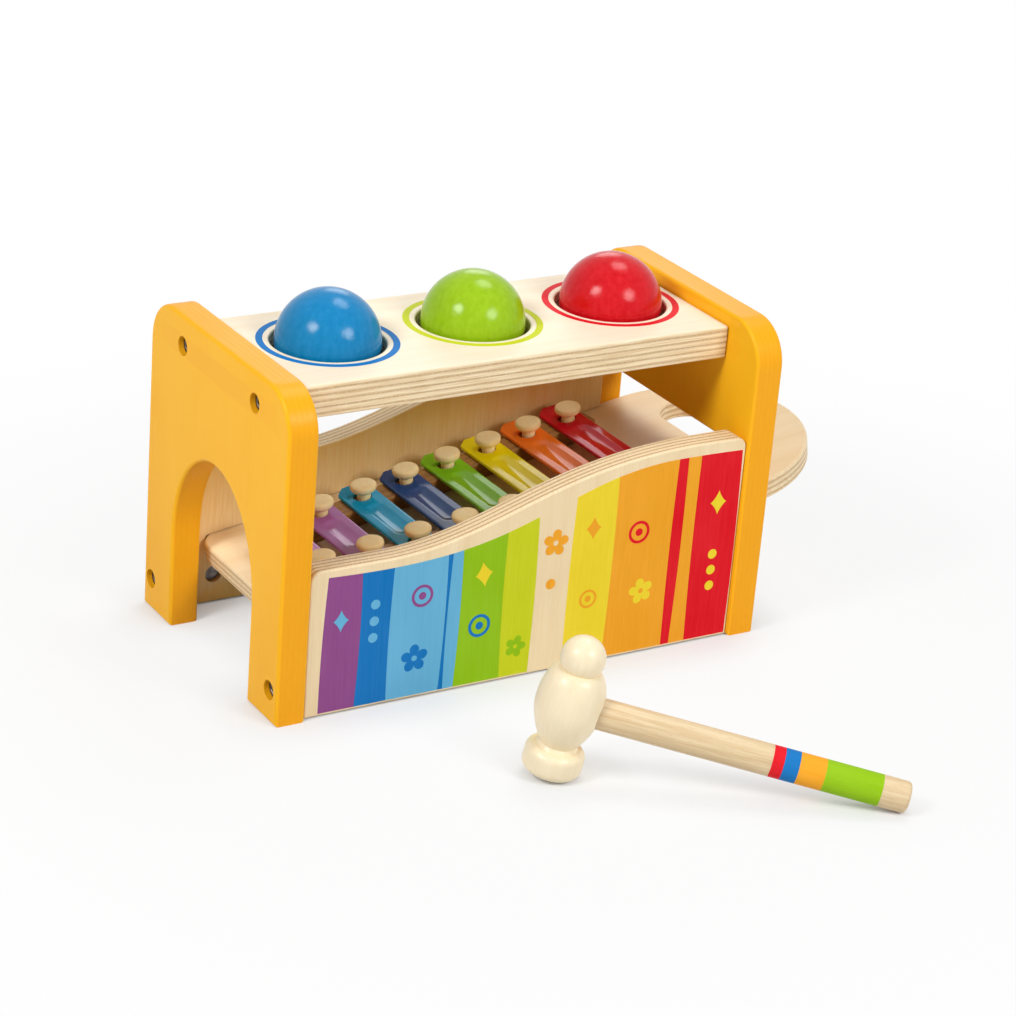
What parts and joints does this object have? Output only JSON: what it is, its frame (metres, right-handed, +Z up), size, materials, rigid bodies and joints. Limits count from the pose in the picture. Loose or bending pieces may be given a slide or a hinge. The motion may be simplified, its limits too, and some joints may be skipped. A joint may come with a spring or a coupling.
{
  "type": "pounding xylophone bench",
  "caption": "Wooden toy bench: balls sit in a top board, are hammered through onto a sloping xylophone that slides out of the end, and roll out under an arch.",
  "frame": {"origin": "on the floor, under the middle of the box round the bench, its xylophone's handle and the hammer", "axes": "+X along the bench from the arched end to the end that the xylophone slides out of, +Y from the printed front to the back, +Z up"},
  "size_m": [0.3084, 0.3098, 0.1699],
  "materials": {
    "orange_paint": "satin orange-yellow paint",
    "birch_plywood": "clear satin, printed front",
    "beech": "clear satin",
    "clear_lacquered_wood": "clear gloss",
    "dark_steel": "dark oxide",
    "black_rubber": "matt",
    "lilac_enamel": "gloss metallic enamel",
    "purple_enamel": "gloss metallic enamel",
    "cyan_enamel": "gloss metallic enamel",
    "navy_enamel": "gloss metallic enamel",
    "green_enamel": "gloss metallic enamel",
    "yellow_enamel": "gloss metallic enamel",
    "orange_enamel": "gloss metallic enamel",
    "red_enamel": "gloss metallic enamel",
    "blue_lacquer": "gloss lacquer",
    "green_lacquer": "gloss lacquer",
    "red_lacquer": "gloss lacquer"
  },
  "bodies": {
    "bench": {"left_end_panel": "orange_paint", "right_end_panel": "orange_paint", "top_board": "birch_plywood", "front_side_panel": "birch_plywood", "rear_side_panel": "birch_plywood", "left_top_front_screw": "dark_steel", "left_top_front_nut": "dark_steel", "left_top_rear_screw": "dark_steel", "left_top_rear_nut": "dark_steel", "left_base_front_screw": "dark_steel", "left_base_front_nut": "dark_steel", "left_base_rear_screw": "dark_steel", "left_base_rear_nut": "dark_steel", "right_top_front_screw": "dark_steel", "right_top_front_nut": "dark_steel", "right_top_rear_screw": "dark_steel", "right_top_rear_nut": "dark_steel", "right_base_front_screw": "dark_steel", "right_base_front_nut": "dark_steel", "right_base_rear_screw": "dark_steel", "right_base_rear_nut": "dark_steel", "blue_ball_ring": "black_rubber", "green_ball_ring": "black_rubber", "red_ball_ring": "black_rubber"},
    "xylophone": {"xylophone_board": "birch_plywood", "front_bar_rail": "beech", "rear_bar_rail": "beech", "lilac_tone_bar": "lilac_enamel", "purple_tone_bar": "purple_enamel", "cyan_tone_bar": "cyan_enamel", "navy_tone_bar": "navy_enamel", "green_tone_bar": "green_enamel", "yellow_tone_bar": "yellow_enamel", "orange_tone_bar": "orange_enamel", "red_tone_bar": "red_enamel", "lilac_front_peg": "beech", "lilac_rear_peg": "beech", "purple_front_peg": "beech", "purple_rear_peg": "beech", "cyan_front_peg": "beech", "cyan_rear_peg": "beech", "navy_front_peg": "beech", "navy_rear_peg": "beech", "green_front_peg": "beech", "green_rear_peg": "beech", "yellow_front_peg": "beech", "yellow_rear_peg": "beech", "orange_front_peg": "beech", "orange_rear_peg": "beech", "red_front_peg": "beech", "red_rear_peg": "beech"},
    "blue_ball": {"blue_ball": "blue_lacquer"},
    "green_ball": {"green_ball": "green_lacquer"},
    "red_ball": {"red_ball": "red_lacquer"},
    "hammer": {"hammer_head": "clear_lacquered_wood", "hammer_handle": "beech"}
  },
  "joints": [
    {"name": "xylophone_slide", "type": "slide", "parent": "bench", "child": "xylophone", "axis": [0.9871, 0, 0.1599], "range_m": [0, 0.24]},
    {"name": "blue_ball_drop", "type": "slide", "parent": "bench", "child": "blue_ball", "axis": [0, 0, 1], "range_m": [-0.071, 0.06], "deforming": ["blue_ball_ring"]},
    {"name": "green_ball_drop", "type": "slide", "parent": "bench", "child": "green_ball", "axis": [0, 0, 1], "range_m": [-0.0592, 0.06], "deforming": ["green_ball_ring"]},
    {"name": "red_ball_drop", "type": "slide", "parent": "bench", "child": "red_ball", "axis": [0, 0, 1], "range_m": [-0.0476, 0.06], "deforming": ["red_ball_ring"]},
    {"name": "hammer_lift", "type": "slide", "parent": "bench", "child": "hammer", "axis": [0, 0, 1], "range_m": [0, 0.15]}
  ]
}
